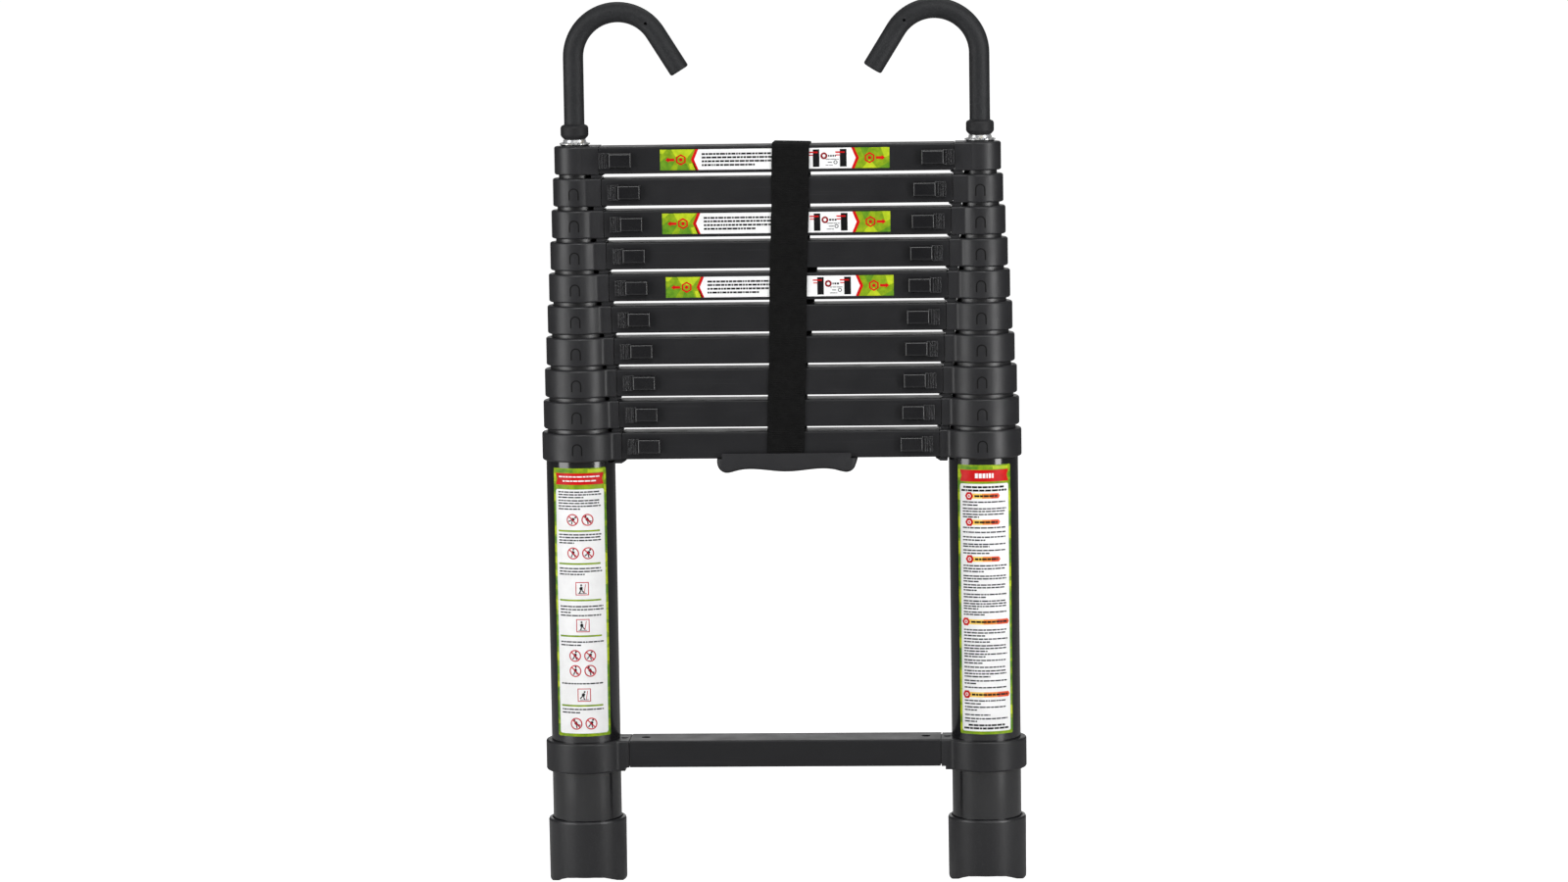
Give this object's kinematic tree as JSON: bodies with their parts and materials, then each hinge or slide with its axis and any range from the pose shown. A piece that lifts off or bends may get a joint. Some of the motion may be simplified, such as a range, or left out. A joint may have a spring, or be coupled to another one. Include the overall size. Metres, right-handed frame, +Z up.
{
  "type": "telescoping ladder",
  "caption": "Closed telescoping ladder with nested black tubes, collared rungs, thumb latches, swivelling top hooks, a carry handle, a webbing strap and rubber feet.",
  "frame": {"origin": "on the floor, midway between the two feet", "axes": "+Z up along the stiles, +X to the right, the thumb latches face -Y"},
  "size_m": [0.4674, 0.078, 0.8534],
  "materials": {
    "stile_black": "black powder coat, semi-gloss",
    "rung_black": "black powder coat, satin",
    "collar_black": "moulded glass-filled nylon, fine matt grain",
    "latch_black": "moulded nylon, satin",
    "foot_rubber": "moulded rubber, matt",
    "hook_rubber": "rubber sleeve, rough grain",
    "zinc": "bright zinc plate",
    "handle_black": "moulded plastic, matt",
    "rivet_black": "blackened steel",
    "webbing": "black polypropylene webbing",
    "label_film": "printed vinyl film"
  },
  "bodies": {
    "base": {"tubes_01": "stile_black", "collars_01": "collar_black", "rung_01": "rung_black", "bottom_collars": "collar_black", "bottom_rung": "rung_black", "rung_rivets": "rivet_black", "feet": "foot_rubber", "carry_handle": "handle_black", "handle_screws": "rivet_black"},
    "section_02": {"tubes_02": "stile_black", "collars_02": "collar_black", "rung_02": "rung_black"},
    "section_03": {"tubes_03": "stile_black", "collars_03": "collar_black", "rung_03": "rung_black"},
    "section_04": {"tubes_04": "stile_black", "collars_04": "collar_black", "rung_04": "rung_black"},
    "section_05": {"tubes_05": "stile_black", "collars_05": "collar_black", "rung_05": "rung_black"},
    "section_06": {"tubes_06": "stile_black", "collars_06": "collar_black", "rung_06": "rung_black"},
    "section_07": {"tubes_07": "stile_black", "collars_07": "collar_black", "rung_07": "rung_black"},
    "section_08": {"tubes_08": "stile_black", "collars_08": "collar_black", "rung_08": "rung_black"},
    "section_09": {"tubes_09": "stile_black", "collars_09": "collar_black", "rung_09": "rung_black"},
    "section_10": {"tubes_10": "stile_black", "collars_10": "collar_black", "rung_10": "rung_black", "hook_nuts": "zinc", "strap": "webbing"},
    "thumb_latch_01_left": {"latch_01_left": "latch_black"},
    "thumb_latch_01_right": {"latch_01_right": "latch_black"},
    "thumb_latch_02_left": {"latch_02_left": "latch_black"},
    "thumb_latch_02_right": {"latch_02_right": "latch_black"},
    "thumb_latch_03_left": {"latch_03_left": "latch_black"},
    "thumb_latch_03_right": {"latch_03_right": "latch_black"},
    "thumb_latch_04_left": {"latch_04_left": "latch_black"},
    "thumb_latch_04_right": {"latch_04_right": "latch_black"},
    "thumb_latch_05_left": {"latch_05_left": "latch_black"},
    "thumb_latch_05_right": {"latch_05_right": "latch_black"},
    "thumb_latch_06_left": {"latch_06_left": "latch_black"},
    "thumb_latch_06_right": {"latch_06_right": "latch_black"},
    "thumb_latch_07_left": {"latch_07_left": "latch_black"},
    "thumb_latch_07_right": {"latch_07_right": "latch_black"},
    "thumb_latch_08_left": {"latch_08_left": "latch_black"},
    "thumb_latch_08_right": {"latch_08_right": "latch_black"},
    "thumb_latch_09_left": {"latch_09_left": "latch_black"},
    "thumb_latch_09_right": {"latch_09_right": "latch_black"},
    "thumb_latch_10_left": {"latch_10_left": "latch_black"},
    "thumb_latch_10_right": {"latch_10_right": "latch_black"},
    "left_hook": {"hook_left": "hook_rubber"},
    "right_hook": {"hook_right": "hook_rubber"}
  },
  "joints": [
    {"name": "section_02_slide", "type": "slide", "parent": "base", "child": "section_02", "axis": [0, 0, 1], "range_m": [0, 0.2724]},
    {"name": "section_03_slide", "type": "slide", "parent": "section_02", "child": "section_03", "axis": [0, 0, 1], "range_m": [0, 0.2724]},
    {"name": "section_04_slide", "type": "slide", "parent": "section_03", "child": "section_04", "axis": [0, 0, 1], "range_m": [0, 0.2724]},
    {"name": "section_05_slide", "type": "slide", "parent": "section_04", "child": "section_05", "axis": [0, 0, 1], "range_m": [0, 0.2724]},
    {"name": "section_06_slide", "type": "slide", "parent": "section_05", "child": "section_06", "axis": [0, 0, 1], "range_m": [0, 0.2724]},
    {"name": "section_07_slide", "type": "slide", "parent": "section_06", "child": "section_07", "axis": [0, 0, 1], "range_m": [0, 0.2724]},
    {"name": "section_08_slide", "type": "slide", "parent": "section_07", "child": "section_08", "axis": [0, 0, 1], "range_m": [0, 0.2724]},
    {"name": "section_09_slide", "type": "slide", "parent": "section_08", "child": "section_09", "axis": [0, 0, 1], "range_m": [0, 0.2724]},
    {"name": "section_10_slide", "type": "slide", "parent": "section_09", "child": "section_10", "axis": [0, 0, 1], "range_m": [0, 0.2724]},
    {"name": "latch_01_left_slide", "type": "slide", "parent": "base", "child": "thumb_latch_01_left", "axis": [1, 0, 0], "range_m": [0, 0.0032], "stiffness_N_per_m": 400, "springref_m": -0.006},
    {"name": "latch_01_right_slide", "type": "slide", "parent": "base", "child": "thumb_latch_01_right", "axis": [-1, 0, 0], "range_m": [0, 0.0032], "stiffness_N_per_m": 400, "springref_m": -0.006},
    {"name": "latch_02_left_slide", "type": "slide", "parent": "section_02", "child": "thumb_latch_02_left", "axis": [1, 0, 0], "range_m": [0, 0.0032], "stiffness_N_per_m": 400, "springref_m": -0.006},
    {"name": "latch_02_right_slide", "type": "slide", "parent": "section_02", "child": "thumb_latch_02_right", "axis": [-1, 0, 0], "range_m": [0, 0.0032], "stiffness_N_per_m": 400, "springref_m": -0.006},
    {"name": "latch_03_left_slide", "type": "slide", "parent": "section_03", "child": "thumb_latch_03_left", "axis": [1, 0, 0], "range_m": [0, 0.0032], "stiffness_N_per_m": 400, "springref_m": -0.006},
    {"name": "latch_03_right_slide", "type": "slide", "parent": "section_03", "child": "thumb_latch_03_right", "axis": [-1, 0, 0], "range_m": [0, 0.0032], "stiffness_N_per_m": 400, "springref_m": -0.006},
    {"name": "latch_04_left_slide", "type": "slide", "parent": "section_04", "child": "thumb_latch_04_left", "axis": [1, 0, 0], "range_m": [0, 0.0032], "stiffness_N_per_m": 400, "springref_m": -0.006},
    {"name": "latch_04_right_slide", "type": "slide", "parent": "section_04", "child": "thumb_latch_04_right", "axis": [-1, 0, 0], "range_m": [0, 0.0032], "stiffness_N_per_m": 400, "springref_m": -0.006},
    {"name": "latch_05_left_slide", "type": "slide", "parent": "section_05", "child": "thumb_latch_05_left", "axis": [1, 0, 0], "range_m": [0, 0.0032], "stiffness_N_per_m": 400, "springref_m": -0.006},
    {"name": "latch_05_right_slide", "type": "slide", "parent": "section_05", "child": "thumb_latch_05_right", "axis": [-1, 0, 0], "range_m": [0, 0.0032], "stiffness_N_per_m": 400, "springref_m": -0.006},
    {"name": "latch_06_left_slide", "type": "slide", "parent": "section_06", "child": "thumb_latch_06_left", "axis": [1, 0, 0], "range_m": [0, 0.0032], "stiffness_N_per_m": 400, "springref_m": -0.006},
    {"name": "latch_06_right_slide", "type": "slide", "parent": "section_06", "child": "thumb_latch_06_right", "axis": [-1, 0, 0], "range_m": [0, 0.0032], "stiffness_N_per_m": 400, "springref_m": -0.006},
    {"name": "latch_07_left_slide", "type": "slide", "parent": "section_07", "child": "thumb_latch_07_left", "axis": [1, 0, 0], "range_m": [0, 0.0032], "stiffness_N_per_m": 400, "springref_m": -0.006},
    {"name": "latch_07_right_slide", "type": "slide", "parent": "section_07", "child": "thumb_latch_07_right", "axis": [-1, 0, 0], "range_m": [0, 0.0032], "stiffness_N_per_m": 400, "springref_m": -0.006},
    {"name": "latch_08_left_slide", "type": "slide", "parent": "section_08", "child": "thumb_latch_08_left", "axis": [1, 0, 0], "range_m": [0, 0.0032], "stiffness_N_per_m": 400, "springref_m": -0.006},
    {"name": "latch_08_right_slide", "type": "slide", "parent": "section_08", "child": "thumb_latch_08_right", "axis": [-1, 0, 0], "range_m": [0, 0.0032], "stiffness_N_per_m": 400, "springref_m": -0.006},
    {"name": "latch_09_left_slide", "type": "slide", "parent": "section_09", "child": "thumb_latch_09_left", "axis": [1, 0, 0], "range_m": [0, 0.0032], "stiffness_N_per_m": 400, "springref_m": -0.006},
    {"name": "latch_09_right_slide", "type": "slide", "parent": "section_09", "child": "thumb_latch_09_right", "axis": [-1, 0, 0], "range_m": [0, 0.0032], "stiffness_N_per_m": 400, "springref_m": -0.006},
    {"name": "latch_10_left_slide", "type": "slide", "parent": "section_10", "child": "thumb_latch_10_left", "axis": [1, 0, 0], "range_m": [0, 0.0097], "stiffness_N_per_m": 400, "springref_m": -0.006},
    {"name": "latch_10_right_slide", "type": "slide", "parent": "section_10", "child": "thumb_latch_10_right", "axis": [-1, 0, 0], "range_m": [0, 0.0097], "stiffness_N_per_m": 400, "springref_m": -0.006},
    {"name": "hook_left_swivel", "type": "hinge", "parent": "section_10", "child": "left_hook", "pos_m": [-0.1947, 0, 0.7226], "axis": [0, 0, 1], "range_deg": [-90, 90]},
    {"name": "hook_right_swivel", "type": "hinge", "parent": "section_10", "child": "right_hook", "pos_m": [0.1947, 0, 0.7226], "axis": [0, 0, 1], "range_deg": [-90, 90]}
  ]
}
